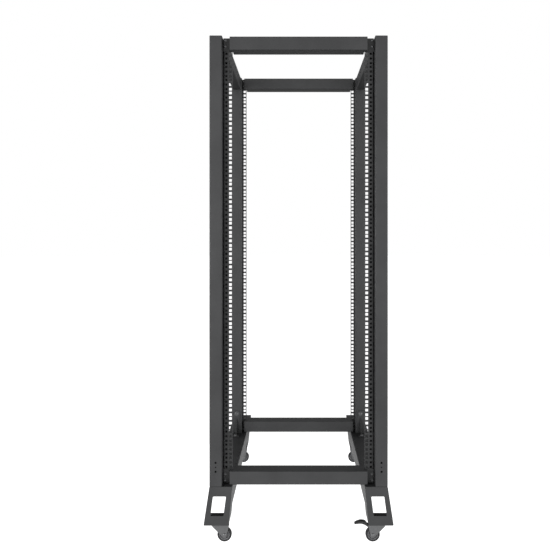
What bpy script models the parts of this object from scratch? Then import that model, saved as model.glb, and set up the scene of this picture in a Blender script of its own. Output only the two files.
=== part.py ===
"""Open-frame four-post equipment rack, 32 units high, on four swivel casters.

Metres, +Z up, the front faces -Y and +X is on the viewer's right.
The origin is on the floor, under the middle of the base.

Each post is a rectangular tube with a punched mounting strip beside it, at its mid-depth. The rear tubes stand a
little further in than the front ones. The posts stand on two base rails, which end in splayed feet. Bolted gussets
brace the posts, crossbars join them left to right, and side rails join them front to back along the top. Each foot
stands on a caster, and one caster has a brake pedal.
"""

import math

import bmesh
import bpy
from mathutils import Matrix, Vector

# ---------------------------------------------------------------- driving dimensions, in metres

GAP = 0.0003                     # between pieces that touch
PLAY = 0.0003                    # between a shaft and its hole
WELD = 0.00001                   # merge distance
CLEAR = 0.01                     # how far a cutter runs past the metal

UNIT = 0.04445                   # one rack unit
UNITS = 32
HOLE_RISES = (0.00635, 0.022225, 0.0381)    # the three holes of each unit, above the unit's lower edge
HOLE_SIDE = 0.0095               # square holes for cage nuts
HOLE_COLUMN = 0.23255            # half the distance between the two hole columns
OPENING = 0.225                  # half the clear width between the mounting strips

SHEET = 0.002                    # wall of the posts, mounting strips, crossbars and side rails
HEAVY_SHEET = 0.003              # wall of the base rails, feet and gussets

TUBES = {"front": (0.258, 0.300), "rear": (0.243, 0.285)}    # inner and outer faces of the posts' tubes
POST_DEPTH = 0.080
TIE_HOLES = (0.050, 0.080)       # small holes low in the post's front wall, above its foot
TIE_HOLE_RADIUS = 0.0035

BASE_LENGTH = 1.000
BASE_TOP = 0.204
BASE_INNER = 0.2228              # the top of the base rails and feet, from the middle of the rack
BASE_OUTER = 0.300
BASE_RAIL_HEIGHT = 0.092
FOOT_BOTTOM = 0.0725
FOOT_DEPTH = 0.110
FOOT_INNER = 0.2355              # the foot's lower edges, splayed outwards
FOOT_OUTER = 0.3200
WINDOW_TOP = (0.171, 0.2440, 0.2880)        # height, inner and outer corner of the foot's window
WINDOW_BOTTOM = (0.1055, 0.2527, 0.2967)

FRONT = -BASE_LENGTH / 2
POST_FRONTS = {"front": FRONT, "rear": FRONT + 0.675}

BAR_HEIGHT = 0.046
BAR_LIFT = 0.002                 # of the lower crossbars above the posts' ends
BAR_SETBACK = 0.012              # of a crossbar's face behind the post's face
BAR_FACE = 0.233                 # half the width of a crossbar's face
BAR_TAB_GAP = 0.0015             # between a crossbar's tab and the post's tube
BAR_BODY = 0.2245                # half the width of the part between the mounting strips
BAR_LIP = 0.012                  # the turned-in edges along a crossbar's back
TAB_SEAT = 0.0003                # depth of the shallow seat in a mounting strip behind a crossbar's tab

SIDE_RAIL_INNER = 0.246
SIDE_RAIL_OUTER = 0.281
SIDE_RAIL_HEIGHT = 0.050
SIDE_RAIL_HOLES = 9
SIDE_RAIL_HOLE_RADIUS = 0.0045

RAIL_HOLE_RADIUS = 0.004
RAIL_HOLE_PITCH = 0.050
RAIL_HOLES = 15
RAIL_HOLE_COLUMN = 0.230

GUSSET_WIDTH = 0.027
GUSSET_HEIGHT = 0.096
GUSSET_LENGTH = 0.060
WEB_HEIGHT = 0.070
WEB_LENGTH = 0.040
UPPER_BOLT_RISE = 0.084
LOWER_BOLT_REACH = 0.048
BOLT_RADIUS = 0.004
BOLT_HEAD = 0.0075
BOLT_HEAD_HEIGHT = 0.005
BOLT_LENGTH = 0.012
BOLT_SIDES = 8

CASTER_COLUMN = 0.281            # the swivel axes, from the middle of the rack
CASTER_INSET = FOOT_DEPTH / 2    # of the swivel axes from the ends of the base
TRAIL = 0.027                    # of the wheel's axle behind the swivel axis
WHEEL_RADIUS = 0.025
WHEEL_SIDES = 16
AXLE_HEIGHT = WHEEL_RADIUS * math.cos(math.pi / WHEEL_SIDES)    # the wheel stands on a flat
AXLE_RADIUS = 0.004
CORE_RADIUS = 0.0181
HUB_HALF = 0.0105                # half the length of the wheel's hub
LEG_INNER = 0.0115               # inner face of each fork leg, from the wheel's mid-plane
LEG_THICKNESS = 0.0025
CROWN_TOP = 0.0629
CROWN_THICKNESS = 0.0035
CROWN_RADIUS = 0.020
PLATE_TOP = FOOT_BOTTOM - GAP
PLATE_THICKNESS = 0.0025
PLATE_SIZE = (0.064, 0.060)
SKIRT = (0.018, 0.021, 0.064)    # inner and outer radius and lower edge of the plate's ball cup
KING_PIN_RADIUS = 0.004
KING_PIN_HEAD = 0.008
ROUND_SIDES = 12

BRAKED_CASTER = "front_right"
PEDAL_PIVOT = (-0.034, 0.055)    # from the swivel axis, and above the floor
PEDAL_WIDTH = 0.021
PEDAL_PIN_RADIUS = 0.002

SIDES = {"left": -1, "right": 1}
ENDS = {"front": -1, "rear": 1}

# ---------------------------------------------------------------- sizes that follow

POST_BOTTOM = BASE_TOP + GAP
UNITS_BOTTOM = POST_BOTTOM + BAR_LIFT + BAR_HEIGHT
UNITS_TOP = UNITS_BOTTOM + UNITS * UNIT
POST_TOP = UNITS_TOP + BAR_HEIGHT
RAIL_HALF_LENGTH = BASE_LENGTH / 2 - FOOT_DEPTH - GAP
LEAN_INNER = (FOOT_INNER - BASE_INNER) / (BASE_TOP - FOOT_BOTTOM)    # of the base's walls, out from the middle
LEAN_OUTER = (FOOT_OUTER - BASE_OUTER) / (BASE_TOP - FOOT_BOTTOM)
TUBE_MIDDLES = {end: (inner + outer) / 2 for end, (inner, outer) in TUBES.items()}


# ---------------------------------------------------------------- tools

def clear_scene():
    for thing in list(bpy.data.objects):
        bpy.data.objects.remove(thing)


def new_collection(name):
    group = bpy.data.collections.new(name)
    bpy.context.scene.collection.children.link(group)
    return group


def new_material(name, colour, roughness, metallic):
    material = bpy.data.materials.new(name)
    material.use_nodes = True
    shader = material.node_tree.nodes["Principled BSDF"]
    shader.inputs["Base Color"].default_value = (*colour, 1)
    shader.inputs["Roughness"].default_value = roughness
    shader.inputs["Metallic"].default_value = metallic
    return material


def add_part(name, mesh, look, parent=None, place=None):
    """A piece of the rack, with a material of its own."""
    part = bpy.data.objects.new(name, mesh)
    PARTS.objects.link(part)
    part.parent = parent
    if place:
        part.matrix_local = place
    mesh.materials.append(new_material(name, *look))
    return part


def combine(part, operation, mesh, place=None):
    """Cuts the mesh out of the part, or joins it to the part; it stays as a hidden guide."""
    tool = bpy.data.objects.new(f"{part.name}_{mesh.name}", mesh)
    TOOLS.objects.link(tool)
    tool.parent = part.parent
    tool.matrix_local = part.matrix_local @ place if place else part.matrix_local
    tool.hide_render = True
    tool.display_type = "WIRE"
    modifier = part.modifiers.new(mesh.name, "BOOLEAN")
    modifier.operation = operation
    modifier.solver = "EXACT"
    modifier.object = tool


def add_joint_frame(name, location, turn=0, parent=None):
    """An empty on a joint's axis."""
    frame = bpy.data.objects.new(name, None)
    PARTS.objects.link(frame)
    frame.parent = parent
    frame.location = location
    frame.rotation_euler.z = turn
    frame.empty_display_size = 0.02
    return frame


def box_mesh(name, *boxes):
    """Boxes given as their X, Y and Z ranges, each in either order."""
    shape = bmesh.new()
    for box in boxes:
        low = Vector([min(span) for span in box])
        high = Vector([max(span) for span in box])
        size = Matrix.Diagonal((*(high - low), 1))
        bmesh.ops.create_cube(shape, size=1, matrix=Matrix.Translation((low + high) / 2) @ size)
    return as_mesh(name, shape)


def rod_mesh(name, radius, length, centres, axis="Z", sides=8):
    """Cylinders along one axis, centred on the given points."""
    turn = {"X": Matrix.Rotation(math.pi / 2, 4, "Y"), "Y": Matrix.Rotation(math.pi / 2, 4, "X"),
            "Z": Matrix.Identity(4)}[axis]
    shape = bmesh.new()
    for centre in centres:
        bmesh.ops.create_cone(shape, cap_ends=True, segments=sides, radius1=radius, radius2=radius,
                              depth=length, matrix=Matrix.Translation(centre) @ turn)
    return as_mesh(name, shape)


def plate_mesh(name, thickness, *outlines):
    """A flat plate in the XZ plane, centred on Y = 0. Outlines after the first are holes."""
    curve = bpy.data.curves.new(name, "CURVE")
    curve.dimensions = "2D"
    curve.fill_mode = "BOTH"
    curve.extrude = thickness / 2
    for outline in outlines:
        spline = curve.splines.new("POLY")
        spline.points.add(len(outline) - 1)
        spline.use_cyclic_u = True
        for point, (across, up) in zip(spline.points, outline):
            point.co = (across, up, 0, 1)
    drawn = bpy.data.objects.new(name, curve)
    TOOLS.objects.link(drawn)
    graph = bpy.context.evaluated_depsgraph_get()
    filled = bpy.data.meshes.new_from_object(drawn.evaluated_get(graph))
    bpy.data.objects.remove(drawn)
    shape = bmesh.new()
    shape.from_mesh(filled)
    bpy.data.meshes.remove(filled)
    bmesh.ops.remove_doubles(shape, verts=shape.verts, dist=WELD)
    bmesh.ops.recalc_face_normals(shape, faces=shape.faces)
    shape.transform(Matrix.Rotation(math.pi / 2, 4, "X"))
    return as_mesh(name, shape)


def as_mesh(name, shape):
    mesh = bpy.data.meshes.new(name)
    shape.to_mesh(mesh)
    shape.free()
    return mesh


def add_turned(name, profile, sides, look, parent=None, place=None, ring=False):
    """A turned piece about its own Z axis. The profile is (radius, height), down its outer side."""
    edges = [(index, index + 1) for index in range(len(profile) - 1)]
    if ring:
        edges.append((len(profile) - 1, 0))
    mesh = bpy.data.meshes.new(name)
    mesh.from_pydata([(radius, 0, height) for radius, height in profile], edges, [])
    part = add_part(name, mesh, look, parent, place)
    turn = part.modifiers.new("turn", "SCREW")
    turn.axis = "Z"
    turn.steps = sides
    turn.render_steps = sides
    turn.use_merge_vertices = True
    turn.merge_threshold = WELD
    turn.use_smooth_shade = True
    return part


def arc(centre, radius, start, end, count):
    """Points on an arc in the plate's plane, with its angles in degrees."""
    angles = [math.radians(start + (end - start) * step / (count - 1)) for step in range(count)]
    return [(centre[0] + radius * math.cos(angle), centre[1] + radius * math.sin(angle)) for angle in angles]


def circle(centre, radius, sides=ROUND_SIDES):
    return arc(centre, radius, 0, 360, sides + 1)[:-1]


def each_corner():
    for end in ENDS:
        for side, sign in SIDES.items():
            yield f"{end}_{side}", end, sign


# ---------------------------------------------------------------- colours, roughness and metallic

POWDER_COAT = ((0.030, 0.031, 0.033), 0.55, 0.0)
ZINC = ((0.24, 0.24, 0.25), 0.42, 0.8)
BLACK_ZINC = ((0.035, 0.035, 0.038), 0.40, 0.6)
RUBBER = ((0.018, 0.018, 0.019), 0.75, 0.0)
GREY_PLASTIC = ((0.12, 0.12, 0.125), 0.50, 0.0)
BLACK_PLASTIC = ((0.012, 0.012, 0.013), 0.45, 0.0)


# ---------------------------------------------------------------- frame

def post(corner, end, sign):
    """A rectangular tube with a closed top."""
    inner, outer = TUBES[end]
    front = POST_FRONTS[end]
    back = front + POST_DEPTH
    part = add_part(f"post_{corner}", box_mesh("tube", (
        (sign * inner, sign * outer), (front, back), (POST_BOTTOM, POST_TOP))), POWDER_COAT)
    combine(part, "DIFFERENCE", box_mesh("hollow", (
        (sign * (inner + SHEET), sign * (outer - SHEET)), (front + SHEET, back - SHEET),
        (POST_BOTTOM - CLEAR, POST_TOP - SHEET))))
    combine(part, "DIFFERENCE", rod_mesh("tie_holes", TIE_HOLE_RADIUS, 2 * CLEAR, [
        (sign * TUBE_MIDDLES[end], front, POST_BOTTOM + rise) for rise in TIE_HOLES], "Y"))
    gusset_face = back if end == "front" else front
    combine(part, "DIFFERENCE", rod_mesh("gusset_bolt_hole", BOLT_RADIUS + PLAY, 2 * CLEAR, [
        (sign * TUBE_MIDDLES[end], gusset_face, BASE_TOP + UPPER_BOLT_RISE)], "Y", BOLT_SIDES))


def mounting_strip(corner, end, sign):
    """A punched strip along a post's inner side, with a shallow seat for a crossbar's tab at each end."""
    middle = POST_FRONTS[end] + POST_DEPTH / 2
    across = (sign * OPENING, sign * (TUBES[end][0] - GAP))
    part = add_part(f"mounting_strip_{corner}", box_mesh("strip", (
        across, (middle - SHEET / 2, middle + SHEET / 2), (POST_BOTTOM, POST_TOP))), POWDER_COAT)
    seats = (middle - CLEAR, middle - SHEET / 2 + TAB_SEAT)
    wide = (sign * (OPENING - CLEAR), sign * (TUBES[end][0] + CLEAR))
    combine(part, "DIFFERENCE", box_mesh("lower_tab_seat", (wide, seats, (POST_BOTTOM - CLEAR, UNITS_BOTTOM))))
    combine(part, "DIFFERENCE", box_mesh("upper_tab_seat", (wide, seats, (UNITS_TOP, POST_TOP + CLEAR))))
    combine(part, "DIFFERENCE", box_mesh("unit_holes", *(
        ((sign * (HOLE_COLUMN - HOLE_SIDE / 2), sign * (HOLE_COLUMN + HOLE_SIDE / 2)),
         (middle - CLEAR, middle + CLEAR), (height - HOLE_SIDE / 2, height + HOLE_SIDE / 2))
        for height in unit_hole_heights())))


def unit_hole_heights():
    return [UNITS_BOTTOM + unit * UNIT + rise for unit in range(UNITS) for rise in HOLE_RISES]


def crossbar(name, end, bottom):
    """A lipped channel whose face stands forward of the mounting strips, with tabs that sit on them."""
    face = POST_FRONTS[end] + BAR_SETBACK
    back = POST_FRONTS[end] + POST_DEPTH
    tab_back = POST_FRONTS[end] + POST_DEPTH / 2 - SHEET / 2 - GAP
    tab = tab_back - SHEET
    width = TUBES[end][0] - BAR_TAB_GAP
    heights = (bottom, bottom + BAR_HEIGHT)
    tall = (bottom - CLEAR, bottom + BAR_HEIGHT + CLEAR)
    inside = (bottom + SHEET, bottom + BAR_HEIGHT - SHEET)
    part = add_part(name, box_mesh("bar", ((-width, width), (face, back), heights)), POWDER_COAT)
    for side, sign in SIDES.items():
        combine(part, "DIFFERENCE", box_mesh(f"{side}_front_corner", (
            (sign * BAR_FACE, sign * (width + CLEAR)), (face - CLEAR, tab), tall)))
        combine(part, "DIFFERENCE", box_mesh(f"{side}_strip_room", (
            (sign * BAR_BODY, sign * (width + CLEAR)), (tab_back, back + CLEAR), tall)))
        combine(part, "DIFFERENCE", box_mesh(f"{side}_end_hollow", (
            (sign * (BAR_BODY - 2 * SHEET), sign * (BAR_FACE - SHEET)), (face + SHEET, tab), inside)))
    combine(part, "DIFFERENCE", box_mesh("hollow", (
        (SHEET - BAR_BODY, BAR_BODY - SHEET), (face + SHEET, back - SHEET), inside)))
    combine(part, "DIFFERENCE", box_mesh("back_slot", (
        (SHEET - BAR_BODY, BAR_BODY - SHEET), (back - 2 * SHEET, back + CLEAR),
        (bottom + BAR_LIP, bottom + BAR_HEIGHT - BAR_LIP))))


def side_rail(side, sign):
    """A box rail along the top, from the front post to the rear post, with a row of holes in its inner wall."""
    start = POST_FRONTS["front"] + POST_DEPTH + GAP
    stop = POST_FRONTS["rear"] - GAP
    bottom = POST_TOP - SIDE_RAIL_HEIGHT
    spacing = (stop - start) / SIDE_RAIL_HOLES
    part = add_part(f"side_rail_{side}", box_mesh("rail", (
        (sign * SIDE_RAIL_INNER, sign * SIDE_RAIL_OUTER), (start, stop), (bottom, POST_TOP))), POWDER_COAT)
    combine(part, "DIFFERENCE", box_mesh("hollow", (
        (sign * (SIDE_RAIL_INNER + SHEET), sign * (SIDE_RAIL_OUTER - SHEET)), (start - CLEAR, stop + CLEAR),
        (bottom + SHEET, POST_TOP - SHEET))))
    combine(part, "DIFFERENCE", rod_mesh("hole_row", SIDE_RAIL_HOLE_RADIUS, 2 * CLEAR, [
        (sign * SIDE_RAIL_INNER, start + spacing * (index + 0.5), POST_TOP - SIDE_RAIL_HEIGHT / 2)
        for index in range(SIDE_RAIL_HOLES)], "X"))


def base_rail(side, sign):
    """A channel open at the bottom, between the two feet of one side. Its walls lean outwards as theirs do."""
    bottom = BASE_TOP - BASE_RAIL_HEIGHT
    part = add_part(f"base_rail_{side}", plate_mesh(
        "rail", 2 * RAIL_HALF_LENGTH, mirrored(splayed(BASE_TOP, bottom), sign)), POWDER_COAT)
    combine(part, "DIFFERENCE", plate_mesh("hollow", 2 * RAIL_HALF_LENGTH + CLEAR, mirrored(
        splayed(BASE_TOP - HEAVY_SHEET, bottom - CLEAR, HEAVY_SHEET), sign)))
    first = -RAIL_HOLE_PITCH * (RAIL_HOLES - 1) / 2
    combine(part, "DIFFERENCE", rod_mesh("hole_row", RAIL_HOLE_RADIUS, 2 * CLEAR, [
        (sign * RAIL_HOLE_COLUMN, first + RAIL_HOLE_PITCH * index, BASE_TOP) for index in range(RAIL_HOLES)]))
    combine(part, "DIFFERENCE", rod_mesh("gusset_bolt_holes", BOLT_RADIUS + PLAY, 2 * CLEAR, [
        (sign * TUBE_MIDDLES[end], gusset_heel(end) - ENDS[end] * LOWER_BOLT_REACH, BASE_TOP) for end in ENDS],
        "Z", BOLT_SIDES))


def foot(corner, end, sign):
    """A folded box, splayed outwards, with a window in its end and open towards the base rail."""
    outward = ENDS[end]
    middle = outward * (BASE_LENGTH - FOOT_DEPTH) / 2
    outside = splayed(BASE_TOP, FOOT_BOTTOM)
    inside = splayed(BASE_TOP - HEAVY_SHEET, FOOT_BOTTOM + HEAVY_SHEET, HEAVY_SHEET)
    top, top_inner, top_outer = WINDOW_TOP
    bottom, bottom_inner, bottom_outer = WINDOW_BOTTOM
    window = [(top_inner, top), (top_outer, top), (bottom_outer, bottom), (bottom_inner, bottom)]
    part = add_part(f"foot_{corner}", plate_mesh("shell", FOOT_DEPTH, mirrored(outside, sign)), POWDER_COAT,
                    place=Matrix.Translation((0, middle, 0)))
    combine(part, "DIFFERENCE", plate_mesh("hollow", FOOT_DEPTH, mirrored(inside, sign)),
            Matrix.Translation((0, -outward * HEAVY_SHEET, 0)))
    combine(part, "DIFFERENCE", plate_mesh("window", 2 * CLEAR, mirrored(window, sign)),
            Matrix.Translation((0, outward * FOOT_DEPTH / 2, 0)))


def splayed(top, bottom, inset=0):
    """The base's outline between two heights, with its leaning walls moved inwards by the inset."""
    edges = []
    for height in (top, bottom):
        drop = BASE_TOP - height
        edges.append((BASE_INNER + inset + LEAN_INNER * drop, BASE_OUTER - inset + LEAN_OUTER * drop))
    (top_inner, top_outer), (bottom_inner, bottom_outer) = edges
    return [(top_inner, top), (top_outer, top), (bottom_outer, bottom), (bottom_inner, bottom)]


def mirrored(outline, sign):
    return [(sign * across, up) for across, up in outline]


def gusset_heel(end):
    """Where a gusset's upright stands, just clear of its post."""
    if end == "front":
        return POST_FRONTS["front"] + POST_DEPTH + GAP
    return POST_FRONTS["rear"] - GAP


def gusset(corner, end, sign):
    """A bolted angle bracket with a web, behind the front posts and in front of the rear ones."""
    heavy = HEAVY_SHEET
    angle = [(0, 0), (GUSSET_LENGTH, 0), (GUSSET_LENGTH, heavy), (heavy, heavy), (heavy, GUSSET_HEIGHT),
             (0, GUSSET_HEIGHT)]
    web = [(heavy / 2, heavy / 2), (WEB_LENGTH, heavy / 2), (heavy / 2, WEB_HEIGHT)]
    place = (Matrix.Translation((sign * TUBE_MIDDLES[end], gusset_heel(end), BASE_TOP + GAP))
             @ Matrix.Rotation(-ENDS[end] * math.pi / 2, 4, "Z"))
    part = add_part(f"gusset_{corner}", plate_mesh("angle", GUSSET_WIDTH, angle), POWDER_COAT, place=place)
    combine(part, "UNION", plate_mesh("web", heavy, web))
    combine(part, "DIFFERENCE", rod_mesh("upper_hole", BOLT_RADIUS + PLAY, 2 * CLEAR, [
        (0, 0, UPPER_BOLT_RISE - GAP)], "X", BOLT_SIDES))
    combine(part, "DIFFERENCE", rod_mesh("lower_hole", BOLT_RADIUS + PLAY, 2 * CLEAR, [
        (LOWER_BOLT_REACH, 0, 0)], "Z", BOLT_SIDES))
    seat = heavy + GAP
    add_bolt(f"gusset_bolt_upper_{corner}", place @ Matrix.Translation((seat, 0, UPPER_BOLT_RISE - GAP))
             @ Matrix.Rotation(math.pi / 2, 4, "Y"))
    add_bolt(f"gusset_bolt_lower_{corner}", place @ Matrix.Translation((LOWER_BOLT_REACH, 0, seat)))


def add_bolt(name, place):
    """A bolt whose head sits on its own XY plane."""
    profile = [(0, BOLT_HEAD_HEIGHT), (0.8 * BOLT_HEAD, BOLT_HEAD_HEIGHT), (BOLT_HEAD, 0.6 * BOLT_HEAD_HEIGHT),
               (BOLT_HEAD, 0), (BOLT_RADIUS, 0), (BOLT_RADIUS, -BOLT_LENGTH), (0, -BOLT_LENGTH)]
    add_turned(name, profile, BOLT_SIDES, ZINC, place=place)


# ---------------------------------------------------------------- casters

def caster(corner, end, sign):
    """Every caster is drawn with +X pointing out of the rack, so its wheel trails inwards."""
    spot = (sign * CASTER_COLUMN, ENDS[end] * (BASE_LENGTH / 2 - CASTER_INSET), 0)
    turn = 0 if sign > 0 else math.pi
    mount = add_joint_frame(f"caster_mount_{corner}", spot, turn)
    swivel = add_joint_frame(f"caster_swivel_{corner}", spot, turn)
    spin = add_joint_frame(f"caster_spin_{corner}", (-TRAIL, 0, AXLE_HEIGHT), 0, swivel)
    caster_plate(corner, mount)
    king_pin(corner, mount)
    fork(corner, swivel, corner == BRAKED_CASTER)
    axle(corner, swivel)
    wheel(corner, spin)


def caster_plate(corner, mount):
    length, width = PLATE_SIZE
    inner, outer, lower = SKIRT
    part = add_part(f"caster_plate_{corner}", box_mesh("plate", (
        (-length / 2, length / 2), (-width / 2, width / 2), (PLATE_TOP - PLATE_THICKNESS, PLATE_TOP))),
        BLACK_ZINC, mount)
    upper = PLATE_TOP - PLATE_THICKNESS / 2
    middle = Matrix.Translation((0, 0, (upper + lower) / 2))
    combine(part, "UNION", rod_mesh("cup", outer, upper - lower, [(0, 0, 0)], sides=WHEEL_SIDES), middle)
    cavity_top = PLATE_TOP - PLATE_THICKNESS
    combine(part, "DIFFERENCE", rod_mesh("cup_hollow", inner, 2 * CLEAR, [(0, 0, cavity_top - CLEAR)],
                                         sides=WHEEL_SIDES))
    combine(part, "DIFFERENCE", rod_mesh("king_pin_hole", KING_PIN_RADIUS + PLAY, 4 * CLEAR, [
        (0, 0, PLATE_TOP)], sides=ROUND_SIDES))


def king_pin(corner, mount):
    """The rivet that the fork turns on; its head is under the fork's crown."""
    head_top = CROWN_TOP - CROWN_THICKNESS - GAP
    head_bottom = head_top - 0.0025
    profile = [(0, PLATE_TOP - GAP), (KING_PIN_RADIUS, PLATE_TOP - GAP), (KING_PIN_RADIUS, head_top),
               (KING_PIN_HEAD, head_top), (0.8 * KING_PIN_HEAD, head_bottom), (0, head_bottom)]
    add_turned(f"king_pin_{corner}", profile, ROUND_SIDES, ZINC, mount)


def fork(corner, swivel, braked):
    """A pressed fork: a crown, and a leg on each side of the wheel."""
    crown_bottom = CROWN_TOP - CROWN_THICKNESS
    ledge = 0.0005
    leg_outer = LEG_INNER + LEG_THICKNESS
    part = add_part(f"fork_{corner}", box_mesh("crown", (
        (-TRAIL - 0.016, 0), (ledge - leg_outer, leg_outer - ledge), (crown_bottom + ledge, CROWN_TOP - ledge))),
        ZINC, swivel)
    combine(part, "UNION", rod_mesh("crown_disc", CROWN_RADIUS, CROWN_THICKNESS, [
        (0, 0, CROWN_TOP - CROWN_THICKNESS / 2)], sides=WHEEL_SIDES))
    hub = (-TRAIL, AXLE_HEIGHT)
    outline = [(0.015, CROWN_TOP - 0.0015), (0.015, 0.055), *arc(hub, 0.008, -50, -200, 6),
               (-TRAIL - 0.015, 0.051), (-TRAIL - 0.015, CROWN_TOP - 0.0015)]
    holes = [circle(hub, AXLE_RADIUS + PLAY)]
    if braked:
        holes.append(circle(PEDAL_PIVOT, PEDAL_PIN_RADIUS + PLAY, BOLT_SIDES))
    for leg, sign in SIDES.items():
        middle = sign * (LEG_INNER + LEG_THICKNESS / 2)
        combine(part, "UNION", plate_mesh(f"{leg}_leg", LEG_THICKNESS, outline, *holes),
                Matrix.Translation((0, middle, 0)))
    combine(part, "DIFFERENCE", rod_mesh("king_pin_hole", KING_PIN_RADIUS + PLAY, 2 * CLEAR, [
        (0, 0, CROWN_TOP)], sides=ROUND_SIDES))


def axle(corner, swivel):
    """A shouldered axle, riveted over both legs of the fork."""
    add_turned(f"axle_{corner}", headed_pin(AXLE_RADIUS, 0.0065, 0.003), ROUND_SIDES, ZINC, swivel,
               along_y((-TRAIL, AXLE_HEIGHT)))


def headed_pin(radius, head_radius, head_height):
    """The profile of a pin with a head outside each fork leg."""
    seat = LEG_INNER + LEG_THICKNESS + GAP
    tip = seat + head_height
    return [(0, tip), (0.8 * head_radius, tip), (head_radius, seat), (radius, seat), (radius, -seat),
            (head_radius, -seat), (0.8 * head_radius, -tip), (0, -tip)]


def along_y(centre, spin=0):
    """Lays a turned piece's axis along Y, through a point given as X and height."""
    across, up = centre
    return (Matrix.Translation((across, 0, up)) @ Matrix.Rotation(math.pi / 2, 4, "X")
            @ Matrix.Rotation(spin, 4, "Z"))


def wheel(corner, spin):
    """A moulded core with a tyre on it. Half a facet of turn puts a flat on the floor."""
    place = along_y((0, 0), math.pi / WHEEL_SIDES)
    bore = AXLE_RADIUS + 0.0004
    core = [(bore, HUB_HALF), (0.0075, HUB_HALF), (0.0085, 0.0025), (0.0150, 0.0025), (0.0160, 0.0085),
            (CORE_RADIUS, 0.0085)]
    tyre = [(CORE_RADIUS + GAP, 0.0090), (0.0225, 0.0100), (0.0244, 0.0085), (WHEEL_RADIUS, 0.0050)]
    add_turned(f"wheel_core_{corner}", core + below(core), WHEEL_SIDES, GREY_PLASTIC, spin, place, ring=True)
    add_turned(f"tyre_{corner}", tyre + below(tyre), WHEEL_SIDES, RUBBER, spin, place, ring=True)


def below(profile):
    """The same profile on the other side of the wheel's mid-plane."""
    return [(radius, -height) for radius, height in reversed(profile)]


def brake_pedal(corner, sign, end):
    """A hump-backed pedal, raised at rest. Its nose comes down on the tyre as it is pressed."""
    spot = Vector((sign * CASTER_COLUMN, ENDS[end] * (BASE_LENGTH / 2 - CASTER_INSET), 0))
    across, up = PEDAL_PIVOT
    hinge = add_joint_frame(f"brake_hinge_{corner}", spot + Vector((sign * across, 0, up)))
    upper = [(-0.0105, 0.0042), (-0.0145, 0.0100), (-0.0220, 0.0150), (-0.034, 0.0162), (-0.046, 0.0130),
             (-0.056, 0.0075)]
    lower = [(-0.0565, 0.0045), (-0.046, 0.0062), (-0.034, 0.0070), (-0.024, 0.0045), (-0.016, 0.0000),
             (-0.009, -0.0045), (-0.004, -0.0052)]
    outline = [*upper, *lower, *arc((0, 0), 0.0045, -60, 90, 6)]
    add_part(f"brake_pedal_{corner}", plate_mesh(
        "pedal", PEDAL_WIDTH, outline, circle((0, 0), PEDAL_PIN_RADIUS + PLAY, BOLT_SIDES)), BLACK_PLASTIC, hinge)
    add_turned(f"brake_pin_{corner}", headed_pin(PEDAL_PIN_RADIUS, 0.0035, 0.0015), BOLT_SIDES, ZINC,
               place=Matrix.Translation(spot) @ along_y((sign * across, up)))


# ---------------------------------------------------------------- the rack

def build_rack():
    for corner, end, sign in each_corner():
        post(corner, end, sign)
        mounting_strip(corner, end, sign)
        foot(corner, end, sign)
        gusset(corner, end, sign)
        caster(corner, end, sign)
        if corner == BRAKED_CASTER:
            brake_pedal(corner, sign, end)
    for end in ENDS:
        crossbar(f"crossbar_top_{end}", end, UNITS_TOP)
        crossbar(f"crossbar_bottom_{end}", end, UNITS_BOTTOM - BAR_HEIGHT)
    for side, sign in SIDES.items():
        side_rail(side, sign)
        base_rail(side, sign)


clear_scene()
PARTS = new_collection("open_frame_rack")
TOOLS = new_collection("open_frame_rack_cutters")
build_rack()
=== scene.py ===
"""The finished look of the open-frame rack: folded metal, screws, casters, materials, stage and camera.

Metres, in the frame of the CAD model: +Z up, the front faces -Y. Each piece stands for a CAD node and
rides on that node's body. The screws of the crossbars, the bolts of the caster plates and the balls that
the casters turn on are added here.
"""

import math

import bmesh
import bpy
from mathutils import Matrix, Vector


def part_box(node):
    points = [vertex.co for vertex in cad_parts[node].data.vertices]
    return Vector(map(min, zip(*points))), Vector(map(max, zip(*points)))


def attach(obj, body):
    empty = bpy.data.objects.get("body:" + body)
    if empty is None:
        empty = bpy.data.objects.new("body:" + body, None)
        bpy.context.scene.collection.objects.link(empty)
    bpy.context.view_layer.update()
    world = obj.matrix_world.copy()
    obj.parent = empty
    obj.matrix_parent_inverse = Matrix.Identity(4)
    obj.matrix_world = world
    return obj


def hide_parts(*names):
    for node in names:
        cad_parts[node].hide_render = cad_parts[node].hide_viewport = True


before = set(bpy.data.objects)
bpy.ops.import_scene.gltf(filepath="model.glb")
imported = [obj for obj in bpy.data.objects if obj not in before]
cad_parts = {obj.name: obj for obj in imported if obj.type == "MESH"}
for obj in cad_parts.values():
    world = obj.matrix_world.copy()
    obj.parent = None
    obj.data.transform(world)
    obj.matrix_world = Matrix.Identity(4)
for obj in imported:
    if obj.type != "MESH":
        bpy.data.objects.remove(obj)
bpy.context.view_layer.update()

# ---------------------------------------------------------------- driving dimensions, in metres

UNIT = 0.04445
HOLE_RISES = (0.00635, 0.022225, 0.0381)      # the three holes of each unit, above its lower edge
HOLE_SIDE = 0.0095
HOLE_COLUMN = 0.23255
BLIND_SIDE = 0.0072                           # the small squares beside them, in front of a closed rib
BLIND_COLUMN = 0.2464

SHEET = 0.002
HEAVY_SHEET = 0.003
CLEAR = 0.01                                  # how far a cutter runs past the metal
GAP = 0.0003                                  # between pieces that touch, and around a pin in its hole
RIB_INNER = 0.2405                            # the front strips' rib, from the middle of the rack
RIB_OUTER = 0.2538
RIB_DEPTH = 0.030
POST_FOLD = 0.0035                            # outer radius of the posts' corners
TIE_HOLES = (0.050, 0.065, 0.080)             # in the post's front wall, above its lower end
TIE_HOLE_RADII = (0.0035, 0.0022, 0.0035)

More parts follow.
